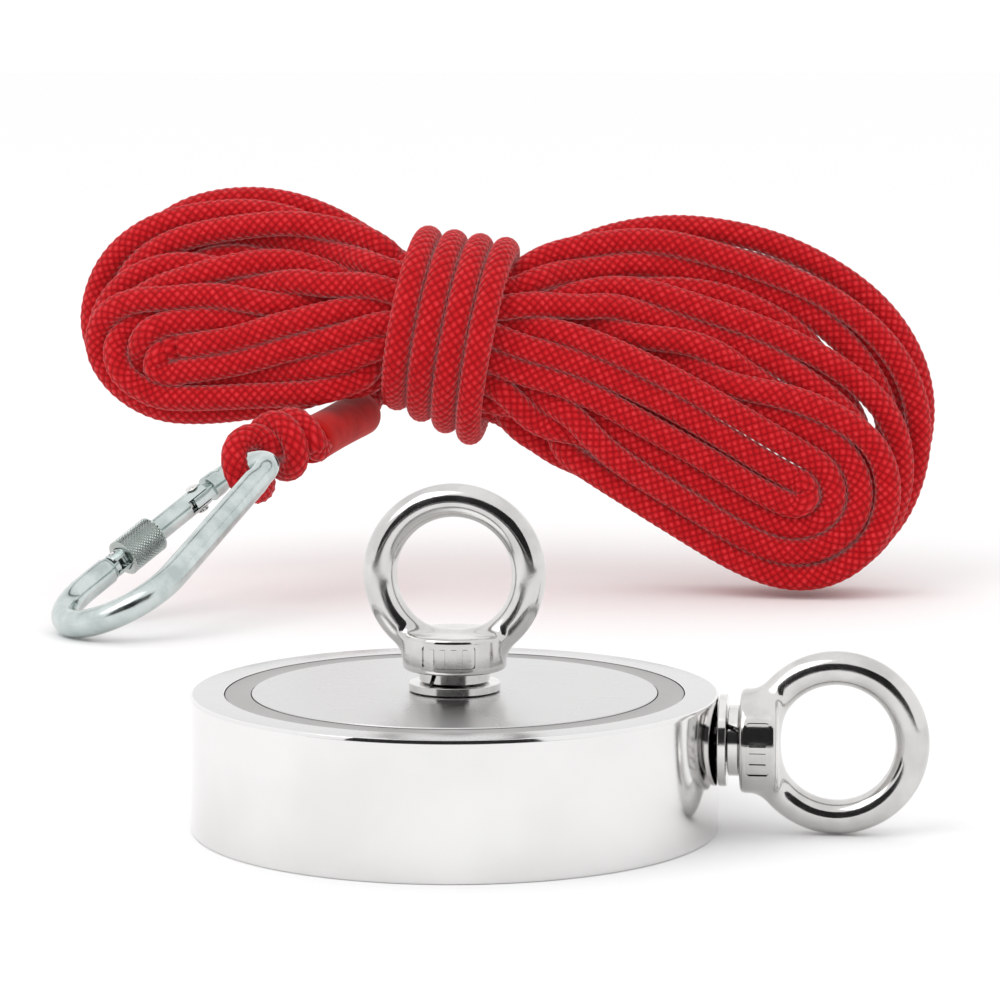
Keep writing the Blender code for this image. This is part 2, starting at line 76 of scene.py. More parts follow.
def makeCamera():
    turn = (math.radians(90 - cameraSetup["pitch"]), 0, math.radians(cameraSetup["heading"]))
    bpy.ops.object.camera_add(location=cameraSetup["place"], rotation=turn)
    camera = bpy.context.active_object
    camera.data.lens = cameraSetup["lens"]
    camera.data.sensor_width = 36
    camera.data.clip_end = 20
    bpy.context.scene.camera = camera


deselectAll()
makeCamera()
print("camera ready")

# the rope's route, all in one piece: loops of the hank, turns round its waist, lead and knot
rope = {
    "diameter": 0.0105, "step": 0.005, "ring": 0.0018, "sides": 16, "bump": 0.00034,
    "loops": 13, "turns": 4, "hankCentre": (-0.060, 0.450, 0.100), "tilt": 8, "halfDepth": 0.0215,
    "waistTop": 0.0345, "waistBottom": 0.0245, "waistTaper": 0.30, "waistDepth": 0.0275,
    "waistHalf": 0.026, "tubeOffset": 0.0034, "rounds": 260,
}
# one loop's way round each end of the hank, along it and up, for the innermost and outermost loop
rightInner = ((47, 8), (83, -2), (117, -16), (143, -28), (160, -34),
              (165, -42), (157, -49), (136, -44), (108, -30), (65, -15))
rightOuter = ((41, 44), (89, 58), (130, 57), (172, 45), (199, 16),
              (201, -22), (191, -57), (156, -79), (107, -55), (51, -34))
leftInner = ((-35, -12), (-61, -15), (-86, -23), (-112, -32), (-124, -33),
             (-133, -26), (-124, -18), (-103, -11), (-75, -7), (-37, -2))
leftOuter = ((-36, -23), (-75, -34), (-112, -43), (-138, -41), (-151, -25),
             (-154, 0), (-146, 27), (-122, 44), (-84, 49), (-45, 42))
# for each loop's lower strand, how far out it lies and how deep, so that they pack in four layers
lowShare = (0, 0.33, 0.66, 1, 0.2, 0.6, 1, 0.1, -0.35, 0.5, 0.95, 0.35, 0.8)
lowDepth = (-20, -19, -18, -17, -7, -7, -6, 5, 5, 6, 6, 17, 17)
leadRoute = ((-0.0847, 0.4755, 0.0772), (-0.0897, 0.4755, 0.0779), (-0.0938, 0.4768, 0.0760))
tubeStart = Vector((-0.0985, 0.4660, 0.0690))
tubeEnd = Vector((-0.1120, 0.4150, 0.0625))
tubeRadius = 0.0096


def hankToWorld(points):
    turn = math.radians(rope["tilt"])
    along, up, deep = np.array(points, float).T
    x = along * math.cos(turn) + up * math.sin(turn)
    z = up * math.cos(turn) - along * math.sin(turn)
    return np.stack([x, deep, z], 1) + np.array(rope["hankCentre"])


def waistShape(along):
    # middle and half height of the tied waist, which narrows to the left
    bottom = rope["waistBottom"] + rope["waistTaper"] * along
    return (rope["waistTop"] - bottom) / 2, (rope["waistTop"] + bottom) / 2


def waistSlot(count, half):
    rows = ((0, 5), (1, 4), (2, 4))
    for row, room in rows:
        if count < room:
            up = waistShape(0)[0] + (0.0044 + 0.0088 * row) * half
            return up, (count - (room - 1) / 2) * rope["diameter"]
        count -= room


def blendLoop(inner, outer, k, lowFirst):
    part = k / (rope["loops"] - 1)
    ramp = np.clip(np.linspace(0, 1, len(inner)) * 2 - 0.5, 0, 1)
    if lowFirst:
        ramp = ramp[::-1]
    found = []
    for near, far, low in zip(inner, outer, ramp):
        share = part + (lowShare[k] - part) * low
        along, up = [a + (b - a) * share for a, b in zip(near, far)]
        deep = (40 * part - 20) * (1 - low) + lowDepth[k] * low
        found.append((along / 1000, up / 1000, deep / 1000))
    return found


def hankRoute():
    last = rope["loops"] - 1
    route = []
    for k in range(rope["loops"]):
        up, deep = waistSlot(k, 1)
        route += [(-0.022, up, deep), (0, up, deep), (0.022, up, deep)]
        route += blendLoop(rightInner, rightOuter, k, False)
        if k == last:
            break
        low, lowDeep = waistSlot(k, -1)
        route += [(0.022, low, lowDeep), (0, low, lowDeep), (-0.022, low, lowDeep)]
        route += blendLoop(leftInner, leftOuter, k, True)
    return route[1:] + [(0.034, -0.030, 0.022)]


def wrapRoute():
    # turns side by side, each stepping over to the next behind the hank
    found = []
    first, last = -60, 360 * (rope["turns"] - 1) + 285
    for angle in range(first, last, 12):
        turn = math.radians(angle)
        done, inTurn = divmod(angle, 360)
        shift = min(1, max(0, (inTurn - 190) / 150))
        along = rope["diameter"] * ((rope["turns"] - 1) / 2 - done - shift * shift * (3 - 2 * shift))
        middle, half = waistShape(along)
        out = rope["diameter"] / 2 + 0.0004
        height = -(half + out) * math.cos(turn)
        found.append((along + 0.05 * height, middle + height, -(rope["waistDepth"] + out) * math.sin(turn)))
    return found


def gateMatrix():
    # on the gate line's narrow end, X along the gate, Z along its pins
    joints = {joint["name"]: joint for joint in frame["joints"]}
    pins = -Vector(joints["gate_open"]["axis"]).normalized()
    along = Vector(joints["sleeve_slide"]["axis"]).normalized()
    start = Vector(joints["gate_open"]["pos_m"]) - along * clip["pivot"]
    return Matrix.Translation(start) @ Matrix((along, pins.cross(along), pins)).transposed().to_4x4()


# carabiner sizes, shared by the knot and the carabiner's own pieces
clip = {
    "length": 0.124, "bar": 0.0104, "narrow": 0.0122, "wide": 0.0245, "shoulder": 0.0063,
    "pivot": 0.013, "gate": 0.0046,
}
clip["pear"] = clip["length"] - clip["bar"] - clip["narrow"] - clip["wide"]
clip["angle"] = math.asin((clip["wide"] - clip["narrow"]) / clip["pear"])


def clipMatrix():
    # on the narrow end's centre, X towards the wide end, Y towards the gate, Z along the pins
    start = (-clip["narrow"] * math.sin(clip["angle"]), clip["narrow"] * math.cos(clip["angle"]), 0)
    return gateMatrix() @ (Matrix.Translation(start) @ Matrix.Rotation(clip["angle"], 4, "Z")).inverted()


# the knot: over the carabiner's bar, through its narrow end, and in turns round itself
knot = {"turns": 1.9, "radius": 0.0106, "from": 0.0090, "to": 0.0255}
knotLoop = ((-21, -1, 3), (-15, 5, 10), (-8, 8, 10), (-2, 5, 4), (0, 1, -4), (-4, -3, -10), (-12, -4, -11.5))


def knotToWorld():
    # loop points lie along the carabiner, towards its gate and up off its flat side, in millimetres
    place = clipMatrix()
    loop = [place @ Vector((a / 1000, b / 1000, -c / 1000)) for a, b, c in knotLoop]
    bar = place @ Vector((-clip["narrow"], 0, 0))
    neck = (tubeEnd - bar).normalized()
    rise = (Vector((0, 0, 1)) - neck * neck.z).normalized()
    side = neck.cross(rise)
    coils = []
    steps = int(knot["turns"] * 12)
    for i in range(steps + 1):
        turn = math.radians(200) + 2 * math.pi * knot["turns"] * i / steps
        along = knot["from"] + (knot["to"] - knot["from"]) * i / steps
        out = knot["radius"] * (rise * math.cos(turn) + side * math.sin(turn))
        coils.append(bar + neck * along + out)
    return np.array([list(p) for p in loop + coils])


def smoothLine(points, step):
    # a curve through the points, then points along it at an even step
    points = np.array(points, float)
    ends = np.concatenate([[2 * points[0] - points[1]], points, [2 * points[-1] - points[-2]]])
    a, b, c, d = ends[:-3], ends[1:-2], ends[2:-1], ends[3:]
    fine = []
    for t in np.linspace(0, 1, 12, endpoint=False):
        bend = (2 * a - 5 * b + 4 * c - d) * t**2
        fine.append(0.5 * (2 * b + (c - a) * t + bend + (3 * b - a - 3 * c + d) * t**3))
    line = np.concatenate([np.stack(fine, 1).reshape(-1, 3), points[-1:]])
    return evenLine(line, step)


def evenLine(line, step):
    gone = np.concatenate([[0], np.cumsum(np.linalg.norm(np.diff(line, axis=0), axis=1))])
    count = max(2, int(round(gone[-1] / step)) + 1)
    places = np.linspace(0, gone[-1], count)
    return np.stack([np.interp(places, gone, line[:, i]) for i in range(3)], 1)


def clipObstacle():
    # points along the carabiner's bar near its narrow end, which the knot keeps clear of
    place = clipMatrix()
    found = []
    angle, narrow = clip["angle"], clip["narrow"]
    for i in range(41):
        turn = math.radians(90 + math.degrees(angle) + i * (180 - 2 * math.degrees(angle)) / 40)
        found.append((narrow * math.cos(turn), narrow * math.sin(turn)))
    tangent = Vector((math.cos(angle), math.sin(angle)))
    for side in (1, -1):
        start = (-narrow * math.sin(angle), side * narrow * math.cos(angle))
        for i in range(1, 14):
            found.append((start[0] + tangent.x * 0.002 * i, start[1] + side * tangent.y * 0.002 * i))
    return np.array([place @ Vector((a, b, 0)) for a, b in found])


def closePairs(line, reach, skip):
    # pairs of points nearer than reach that aren't neighbours along the rope
    cell = np.floor(line / reach).astype(int)
    order = {}
    for i, key in enumerate(map(tuple, cell)):
        order.setdefault(key, []).append(i)
    first, second = [], []
    for (x, y, z), members in order.items():
        for dx in (0, 1):
            for dy in (-1, 0, 1):
                for dz in (-1, 0, 1):
                    if (dx, dy, dz) < (0, 0, 0):
                        continue
                    others = order.get((x + dx, y + dy, z + dz))
                    if not others:
                        continue
                    a = np.repeat(members, len(others))
                    b = np.tile(others, len(members))
                    keep = np.abs(a - b) > skip
                    if (dx, dy, dz) == (0, 0, 0):
                        keep &= a < b
                    first.append(a[keep])
                    second.append(b[keep])
    return np.concatenate(first), np.concatenate(second)


def pushOff(line, chosen, solid, gap):
    away = line[chosen][:, None, :] - solid[None]
    dist = np.linalg.norm(away, axis=2)
    near = dist.argmin(1)
    best = dist[np.arange(len(chosen)), near]
    touch = best < gap
    out = away[np.arange(len(chosen)), near][touch]
    line[chosen[touch]] += out * ((gap - best[touch]) / best[touch])[:, None]


def relaxRope(line, loose, home, knotFrom):
    # strands push each other apart to a diameter, bend smoothly, and stay in the hank's shape
    gap = rope["diameter"] * 0.985
    centre = np.array(rope["hankCentre"])
    turn = math.radians(rope["tilt"])
    axis = np.array([math.cos(turn), 0, -math.sin(turn)])
    rise = np.array([math.sin(turn), 0, math.cos(turn)])
    roomDeep = rope["waistDepth"] - rope["diameter"] / 2 - 0.0002
    bar = clipObstacle()
    tube = np.linspace(tubeStart, tubeEnd, 16)
    tubeGap = tubeRadius + rope["diameter"] / 2 + 0.0002
    barGap = (rope["diameter"] + clip["bar"]) / 2 + 0.0002
    weight = loose[:, None]
    inKnot = np.arange(len(line)) >= knotFrom
    step = rope["step"]
    for n in range(rope["rounds"]):
        if n % 8 == 0:
            first, second = closePairs(line, gap * 1.6, 3)
        apart = line[first] - line[second]
        far = np.maximum(np.linalg.norm(apart, axis=1), 1e-6)
        hit = far < gap
        push = apart[hit] * ((gap - far[hit]) / far[hit] * 0.45)[:, None]
        move = np.zeros_like(line)
        count = np.zeros(len(line))
        np.add.at(move, first[hit], push)
        np.add.at(move, second[hit], -push)
        np.add.at(count, first[hit], 1)
        np.add.at(count, second[hit], 1)
        line += weight * move / np.maximum(1, count * 0.6)[:, None]
        # even spacing along the rope
        for odd in (0, 1):
            a, b = slice(odd, len(line) - 1, 2), slice(odd + 1, len(line), 2)
            way = line[b] - line[a]
            long = np.maximum(np.linalg.norm(way, axis=1), 1e-6)
            fix = way * ((long - step) / long * 0.25)[:, None]
            line[a] += weight[a] * fix
            line[b] -= weight[b] * fix
        # stiffness
        middle = (line[:-2] + line[2:]) / 2
        far2 = (line[:-4] + line[4:]) / 2
        line[1:-1] += weight[1:-1] * (middle - line[1:-1]) * 0.22
        line[2:-2] += weight[2:-2] * (far2 - line[2:-2]) * 0.06
        line += weight * (home - line) * np.where(inKnot, 0.012, 0.010)[:, None]
        # the tied waist, the depth of the hank and the floor
        local = line - centre
        along, up, deep = local @ axis, local @ rise, local[:, 1]
        inside = (np.abs(along) < rope["waistHalf"]) & (loose > 0) & ~inKnot
        middle, half = waistShape(np.clip(along, -rope["waistHalf"], rope["waistHalf"]))
        high = up - middle
        size = np.hypot(high / (half - rope["diameter"] / 2 - 0.0002), deep / roomDeep)
        shrink = np.where(inside & (size > 1), 1 / np.maximum(size, 1), 1)
        line += (weight[:, 0] * high * (shrink - 1))[:, None] * rise
        line[:, 1] += weight[:, 0] * deep * (shrink - 1)
        wide = (loose > 0) & ~inKnot
        line[wide, 1] = np.clip(line[wide, 1], centre[1] - rope["halfDepth"], centre[1] + rope["halfDepth"])
        line[:, 2] = np.maximum(line[:, 2], rope["diameter"] / 2 + 0.0004)
        # the knot keeps off the carabiner's bar, and the hank off the shrink tube
        pushOff(line, np.where(inKnot & (loose > 0))[0], bar, barGap)
        pushOff(line, np.where(~inKnot & (loose > 0))[0], tube, tubeGap)
    return line


def ropeLine():
    wraps = hankToWorld(wrapRoute())
    side = (tubeEnd - tubeStart).cross(Vector((0, 0, 1))).normalized() * rope["tubeOffset"]
    into = np.array([list(tubeStart.lerp(tubeEnd, i / 3) + side * min(1, i)) for i in range(4)])
    back = np.array([list(tubeEnd.lerp(tubeStart, i / 3) - side) for i in range(3)])
    parts = [hankToWorld(hankRoute()), wraps, np.array(leadRoute), into, knotToWorld(), back]
    line = smoothLine(np.concatenate(parts), rope["step"])

    def nearest(place, start=0):
        return start + int(np.argmin(np.linalg.norm(line[start:] - place, axis=1)))

    # the turns, the lead and the strands in the tube stay where they are
    wrapFrom = nearest(wraps[1])
    knotFrom = nearest(into[-1], nearest(leadRoute[0], wrapFrom))
    loose = np.ones(len(line))
    loose[wrapFrom:knotFrom] = 0
    loose[nearest(back[0], knotFrom + 6):] = 0
    line = relaxRope(line.copy(), loose, line.copy(), knotFrom)
    return evenLine(smoothLine(line, rope["ring"] / 2), rope["ring"])


def ropeMesh(line):
    # rings of points round the line, high and low in turn, so that the braid stands out
    way = np.gradient(line, axis=0)
    way /= np.linalg.norm(way, axis=1)[:, None]
    side = np.zeros_like(line)
    start = np.cross(way[0], (0.3, 0.2, 1.0))
    side[0] = start / np.linalg.norm(start)
    for i in range(1, len(line)):
        turned = side[i - 1] - way[i] * side[i - 1].dot(way[i])
        side[i] = turned / np.linalg.norm(turned)
    other = np.cross(way, side)
    sides = rope["sides"]
    angles = np.arange(sides) * 2 * math.pi / sides
    level = np.where((np.arange(len(line))[:, None] + np.arange(sides)[None]) % 2, -0.5, 0.5)
    radius = rope["diameter"] / 2 - rope["bump"] / 2 + level * rope["bump"]
    cosine, sine = np.cos(angles)[None, :, None], np.sin(angles)[None, :, None]
    points = line[:, None, :] + radius[..., None] * (cosine * side[:, None, :] + sine * other[:, None, :])
    rings = len(line)
    i, j = np.meshgrid(np.arange(rings - 1), np.arange(sides), indexing="ij")
    nextJ = (j + 1) % sides
    low, high = i * sides, (i + 1) * sides
    faces = np.stack([low + j, low + nextJ, high + nextJ, high + j], -1).reshape(-1, 4).tolist()
    faces.append(list(range(sides))[::-1])
    faces.append([(rings - 1) * sides + k for k in range(sides)])
    mesh = bpy.data.meshes.new("braided_rope")
    mesh.from_pydata(points.reshape(-1, 3).tolist(), [], faces)
    uv = mesh.uv_layers.new(name="braid")
    around = np.stack([j, j + 1, j + 1, j], -1).reshape(-1) / sides
    along = np.stack([i, i, i + 1, i + 1], -1).reshape(-1) / sides
    flat = np.zeros((len(mesh.loops), 2))
    flat[:len(around), 0] = around
    flat[:len(around), 1] = along
    uv.data.foreach_set("uv", flat.reshape(-1))
    mesh.update()
    mesh.shade_smooth()
    made = bpy.data.objects.new("braided_rope", mesh)
    bpy.context.scene.collection.objects.link(made)
    return made


line = ropeLine()
ropePiece = ropeMesh(line)
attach(ropePiece, "rope")
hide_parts("hank_bundle", "hank_wraps", "rope_lead", "rope_knot")


# materials
def newMaterial(name, colour, roughness, metallic):
    made = bpy.data.materials.new(name)
    made.use_nodes = True
    shader = made.node_tree.nodes["Principled BSDF"]
    shader.inputs["Base Color"].default_value = (*colour, 1)
    shader.inputs["Roughness"].default_value = roughness
    shader.inputs["Metallic"].default_value = metallic
    return made, made.node_tree, shader


def addNode(tree, kind, place, **values):
    node = tree.nodes.new(kind)
    node.location = place
    for key, value in values.items():
        setattr(node, key, value)
    return node


def mathNode(tree, operation, place, first, second=None):
    node = addNode(tree, "ShaderNodeMath", place, operation=operation)
    for socket, value in zip(node.inputs, (first, second)):
        if value is None:
            continue
        if isinstance(value, (int, float)):
            socket.default_value = value
        else:
            tree.links.new(value, socket)
    return node.outputs[0]


def rampNode(tree, place, factor, stops):
    node = addNode(tree, "ShaderNodeValToRGB", place)
    while len(node.color_ramp.elements) < len(stops):
        node.color_ramp.elements.new(0.5)
    for element, (spot, colour) in zip(node.color_ramp.elements, stops):
        element.position = spot
        element.color = (*colour, 1)
    tree.links.new(factor, node.inputs["Fac"])
    return node.outputs["Color"]


def noiseNode(tree, place, vector, scale, detail):
    node = addNode(tree, "ShaderNodeTexNoise", place)
    node.inputs["Scale"].default_value = scale
    node.inputs["Detail"].default_value = detail
    tree.links.new(vector, node.inputs["Vector"])
    return node.outputs["Fac"]


def addRelief(tree, shader, height, distance):
    relief = addNode(tree, "ShaderNodeBump", (-300, -200))
    relief.inputs["Strength"].default_value = 1
    relief.inputs["Distance"].default_value = distance
    tree.links.new(height, relief.inputs["Height"])
    tree.links.new(relief.outputs["Normal"], shader.inputs["Normal"])


def makeMetalGroup():
    # handled metal: cloudy smears, fine scratches one way, and small pits
    group = bpy.data.node_groups.new("worn metal", "ShaderNodeTree")
    face = group.interface
    for name in ("Smear Scale", "Roughness Low", "Roughness High", "Pit Scale", "Scratch Amount",
                 "Pit Amount"):
        face.new_socket(name, in_out="INPUT", socket_type="NodeSocketFloat")
    face.new_socket("Grain Stretch", in_out="INPUT", socket_type="NodeSocketVector")
    for name in ("Roughness", "Height", "Stain"):
        face.new_socket(name, in_out="OUTPUT", socket_type="NodeSocketFloat")
    start = addNode(group, "NodeGroupInput", (-900, 0)).outputs
    end = addNode(group, "NodeGroupOutput", (700, 0)).inputs
    spots = addNode(group, "ShaderNodeTexCoord", (-1100, -300)).outputs["Object"]
    links = group.links
    smear = noiseNode(group, (-600, 300), spots, 60, 5)
    links.new(start["Smear Scale"], smear.node.inputs["Scale"])
    spread = addNode(group, "ShaderNodeMapRange", (-300, 300))
    spread.inputs["From Min"].default_value = 0.35
    spread.inputs["From Max"].default_value = 0.7
    links.new(smear, spread.inputs["Value"])
    links.new(start["Roughness Low"], spread.inputs["To Min"])
    links.new(start["Roughness High"], spread.inputs["To Max"])
    grainWay = addNode(group, "ShaderNodeVectorMath", (-600, -50), operation="MULTIPLY")
    links.new(spots, grainWay.inputs[0])
    links.new(start["Grain Stretch"], grainWay.inputs[1])
    scratch = noiseNode(group, (-300, -50), grainWay.outputs[0], 160, 6)
    pits = addNode(group, "ShaderNodeTexVoronoi", (-300, -350))
    links.new(spots, pits.inputs["Vector"])
    links.new(start["Pit Scale"], pits.inputs["Scale"])
    pitDepth = mathNode(group, "MINIMUM", (-100, -350), pits.outputs["Distance"], 0.45)
    scratches = mathNode(group, "MULTIPLY", (100, -50), scratch, start["Scratch Amount"])
    pitted = mathNode(group, "MULTIPLY", (100, -350), pitDepth, start["Pit Amount"])
    links.new(mathNode(group, "ADD", (300, -150), scratches, pitted), end["Height"])
    links.new(spread.outputs["Result"], end["Roughness"])
    links.new(smear, end["Stain"])
    return group


metalGroup = makeMetalGroup()


def wornMetal(name, light, dark, low, high, bump, smears, stretch=(1, 1, 12), scratches=0.3, pits=0.3,
              pitScale=1500.0):
    made, tree, shader = newMaterial(name, light, high, 1)
    worn = addNode(tree, "ShaderNodeGroup", (-700, 100), node_tree=metalGroup)
    for key, value in (("Smear Scale", smears), ("Roughness Low", low), ("Roughness High", high),
                       ("Scratch Amount", scratches), ("Pit Amount", pits), ("Pit Scale", pitScale),
                       ("Grain Stretch", stretch)):
        worn.inputs[key].default_value = value
    tint = rampNode(tree, (-400, 300), worn.outputs["Stain"], ((0.35, dark), (0.62, light)))
    addRelief(tree, shader, worn.outputs["Height"], bump)
    tree.links.new(tint, shader.inputs["Base Color"])
    tree.links.new(worn.outputs["Roughness"], shader.inputs["Roughness"])
    return made


metals = {
    "nickel": wornMetal("polished nickel", (0.79, 0.785, 0.78), (0.73, 0.725, 0.72),
                        0.05, 0.13, 0.000004, 25, (1, 1, 14)),
    "satin": wornMetal("satin nickel", (0.62, 0.617, 0.613), (0.58, 0.577, 0.573),
                       0.24, 0.33, 0.000003, 40, (1, 1, 1)),
    "ground": wornMetal("ground steel rim", (0.68, 0.677, 0.673), (0.63, 0.627, 0.623),
                        0.24, 0.34, 0.000004, 50, (1, 1, 1)),
    "stainless": wornMetal("cast stainless steel", (0.66, 0.65, 0.64), (0.54, 0.53, 0.52),
                           0.07, 0.19, 0.000022, 90, (1, 1, 1), 0.35, 0.25, 900.0),
    "washer": wornMetal("bright washer steel", (0.76, 0.75, 0.74), (0.62, 0.61, 0.60),
                        0.08, 0.18, 0.000008, 120),
    "zinc": wornMetal("zinc plate", (0.60, 0.66, 0.65), (0.44, 0.50, 0.49),
                      0.12, 0.24, 0.000012, 110, (1, 1, 1), 0.5, 0.2, 700.0),
    "knurl": wornMetal("knurled zinc plate", (0.50, 0.54, 0.52), (0.40, 0.44, 0.42),
                       0.20, 0.30, 0.000004, 150),
    "magnet": wornMetal("sintered magnet", (0.30, 0.30, 0.31), (0.20, 0.20, 0.21),
                        0.38, 0.55, 0.000030, 200),
}


def makeResin():
    made, tree, shader = newMaterial("grey resin", (0.30, 0.295, 0.29), 0.38, 0)
    spots = addNode(tree, "ShaderNodeTexCoord", (-1000, 0)).outputs["Object"]
    cloud = noiseNode(tree, (-750, 200), spots, 45, 6)
    tint = rampNode(tree, (-500, 250), cloud, ((0.3, (0.27, 0.265, 0.26)), (0.7, (0.34, 0.335, 0.33))))
    tree.links.new(tint, shader.inputs["Base Color"])
    addRelief(tree, shader, noiseNode(tree, (-750, -200), spots, 220, 4), 0.00006)
    rough = mathNode(tree, "MULTIPLY_ADD", (-500, 0), cloud, 0.25)
    rough.node.inputs[2].default_value = 0.26
    tree.links.new(rough, shader.inputs["Roughness"])
    return made


def makeRopeMaterial():
    # bundles of fibres cross, each leaning the other way from its neighbours
    made, tree, shader = newMaterial("braided rope", (0.55, 0.008, 0.015), 0.5, 0)
    shader.inputs["Specular IOR Level"].default_value = 0.14
    links = tree.links

    def calc(*values):
        return mathNode(tree, *values)

    braid = addNode(tree, "ShaderNodeUVMap", (-2200, 0), uv_map="braid")
    split = addNode(tree, "ShaderNodeSeparateXYZ", (-2000, 0))
    links.new(braid.outputs["UV"], split.inputs[0])
    total = calc("ADD", (-1800, 150), split.outputs[0], split.outputs[1])
    differ = calc("SUBTRACT", (-1800, -150), split.outputs[0], split.outputs[1])
    cells, parts = [], []
    for row, way in ((200, total), (-200, differ)):
        lattice = calc("MULTIPLY_ADD", (-1650, row), way, 8.0)
        lattice.node.inputs[2].default_value = 0.5
        cell = calc("FLOOR", (-1500, row + 60), lattice)
        part = calc("SUBTRACT", (-1350, row), lattice, cell)
        cells.append(cell)
        parts.append(calc("SUBTRACT", (-1200, row), part, 0.5))
    both = calc("ADD", (-1350, 400), cells[0], cells[1])
    parity = calc("FLOORED_MODULO", (-1200, 400), both, 2.0)
    choose = []
    for row, first, second in ((150, parts[0], parts[1]), (-150, parts[1], parts[0])):
        gap = calc("SUBTRACT", (-1050, row), second, first)
        step = calc("MULTIPLY", (-900, row), gap, parity)
        choose.append(calc("ADD", (-750, row), first, step))
    along, across = choose
    arch = calc("COSINE", (-450, 200), calc("MULTIPLY", (-600, 200), along, 2.7))
    roundness = calc("COSINE", (-450, 0), calc("MULTIPLY", (-600, 0), across, 2.9))
    bundle = calc("MULTIPLY", (-300, 100), arch, roundness)
    lifted = calc("POWER", (-150, 100), calc("MAXIMUM", (-230, 20), bundle, 0.0), 0.5)
    # fibres run along each bundle
    place = addNode(tree, "ShaderNodeCombineXYZ", (-600, -350))
    links.new(calc("MULTIPLY", (-750, -350), across, 26.0), place.inputs[0])
    links.new(calc("MULTIPLY", (-750, -450), along, 2.0), place.inputs[1])
    links.new(calc("MULTIPLY_ADD", (-750, -550), cells[0], 7.3), place.inputs[2])
    fibres = noiseNode(tree, (-450, -350), place.outputs[0], 1, 2)
    thread = calc("MULTIPLY", (-300, -350), fibres, 0.42)
    height = calc("ADD", (-100, -100), lifted, thread)
    addRelief(tree, shader, height, 0.00075)
    # some bundles are a little lighter at random; the colour also follows the relief, with painted shade in
    # the gaps between bundles and a painted highlight on their tops
    spots = addNode(tree, "ShaderNodeCombineXYZ", (-450, 500))
    links.new(cells[0], spots.inputs[0])
    links.new(cells[1], spots.inputs[1])
    chance = addNode(tree, "ShaderNodeTexWhiteNoise", (-300, 500), noise_dimensions="3D")
    links.new(spots.outputs[0], chance.inputs["Vector"])
    shade = calc("MULTIPLY", (-150, 500), chance.outputs["Value"], 0.14)
    # the tone is the relief height, which paints shade in the gaps and a highlight on the bundle tops, plus
    # a random lift for each bundle
    tone = calc("ADD", (0, 400), calc("MULTIPLY", (-20, 250), height, 0.62), shade)
    # red stops run from painted shade in the gaps to a painted highlight on the bundle tops
    shadeToHighlightReds = ((0.04, (0.13, 0.0003, 0.001)), (0.42, (0.38, 0.001, 0.004)),
            (0.70, (0.58, 0.004, 0.009)), (0.96, (0.80, 0.045, 0.055)))
    links.new(rampNode(tree, (150, 300), tone, shadeToHighlightReds), shader.inputs["Base Color"])
    rough = addNode(tree, "ShaderNodeMapRange", (200, 50))
    rough.inputs["To Min"].default_value = 0.62
    rough.inputs["To Max"].default_value = 0.36
    links.new(lifted, rough.inputs["Value"])
    links.new(rough.outputs["Result"], shader.inputs["Roughness"])
    return made


def makeShrinkMaterial():
    made, tree, shader = newMaterial("red shrink tube", (0.45, 0.010, 0.008), 0.5, 0)
    shader.inputs["Specular IOR Level"].default_value = 0.08
    spots = addNode(tree, "ShaderNodeTexCoord", (-900, 0)).outputs["Object"]
    creases = noiseNode(tree, (-650, -100), spots, 140, 3)
    addRelief(tree, shader, creases, 0.0003)
    # the colour darkens where the crease relief is low, painted shade in the creases
    tint = rampNode(tree, (-350, 200), creases, ((0.3, (0.38, 0.006, 0.005)), (0.7, (0.50, 0.014, 0.011))))
    tree.links.new(tint, shader.inputs["Base Color"])
    return made


resin = makeResin()
shrinkLook = makeShrinkMaterial()
ropePiece.data.materials.append(makeRopeMaterial())
print("materials mixed")


# modelling helpers
def turnedPiece(name, outline, steps, place=Matrix(), closed=False):
    # drawn out ring by ring from the outline's first radius and height to its last
    deselectAll()
    radius, height = outline[0]
    bpy.ops.mesh.primitive_circle_add(vertices=steps, radius=radius, location=(0, 0, height))
    piece = bpy.context.active_object
    piece.name = name
    bpy.ops.object.transform_apply(location=True, rotation=True, scale=True)
    editAll()
    for nextRadius, nextHeight in outline[1:]:
        bpy.ops.mesh.extrude_edges_move(TRANSFORM_OT_translate={"value": (0, 0, nextHeight - height)})
        if nextRadius != radius:
            size = nextRadius / radius
            bpy.ops.transform.resize(value=(size, size, 1), center_override=(0, 0, nextHeight))
        radius, height = nextRadius, nextHeight
    bpy.ops.mesh.select_all(action="SELECT")
    if closed:
        bpy.ops.mesh.remove_doubles(threshold=0.00001)
    else:
        bpy.ops.mesh.fill_holes(sides=0)
    closeMesh()
    settle(piece, place)
    return piece


def settle(piece, place=Matrix()):
    # the object's place goes into its mesh
    pick(piece)
    piece.matrix_world = place @ piece.matrix_world
    bpy.ops.object.transform_apply(location=True, rotation=True, scale=True)


def blockPiece(name, low, high, place=Matrix()):
    deselectAll()
    middle = [(a + b) / 2 for a, b in zip(low, high)]
    bpy.ops.mesh.primitive_cube_add(size=1, location=middle)
    piece = bpy.context.active_object
    piece.name = name
    piece.scale = [b - a for a, b in zip(low, high)]
    settle(piece, place)
    return piece


def combine(piece, other, operation="DIFFERENCE"):
    step = piece.modifiers.new(operation.lower(), "BOOLEAN")
    step.operation = operation
    step.object = other
    applySteps(piece)
    bpy.data.objects.remove(other)


def applySteps(piece):
    pick(piece)
    for step in list(piece.modifiers):
        bpy.ops.object.modifier_apply(modifier=step.name)


def softenEdges(piece, width, segments=2, limit=35):
    step = piece.modifiers.new("soft edges", "BEVEL")
    step.width = width
    step.segments = segments
    step.limit_method = "ANGLE"
    step.angle_limit = math.radians(limit)
    step.use_clamp_overlap = True
    applySteps(piece)


def finishPiece(piece, body, slot, look, *stands):
    pick(piece)
    bpy.ops.object.shade_smooth_by_angle(angle=math.radians(32))
    piece.data.materials.clear()
    piece.data.materials.append(look)
    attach(piece, body)
    if stands:
        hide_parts(*stands)


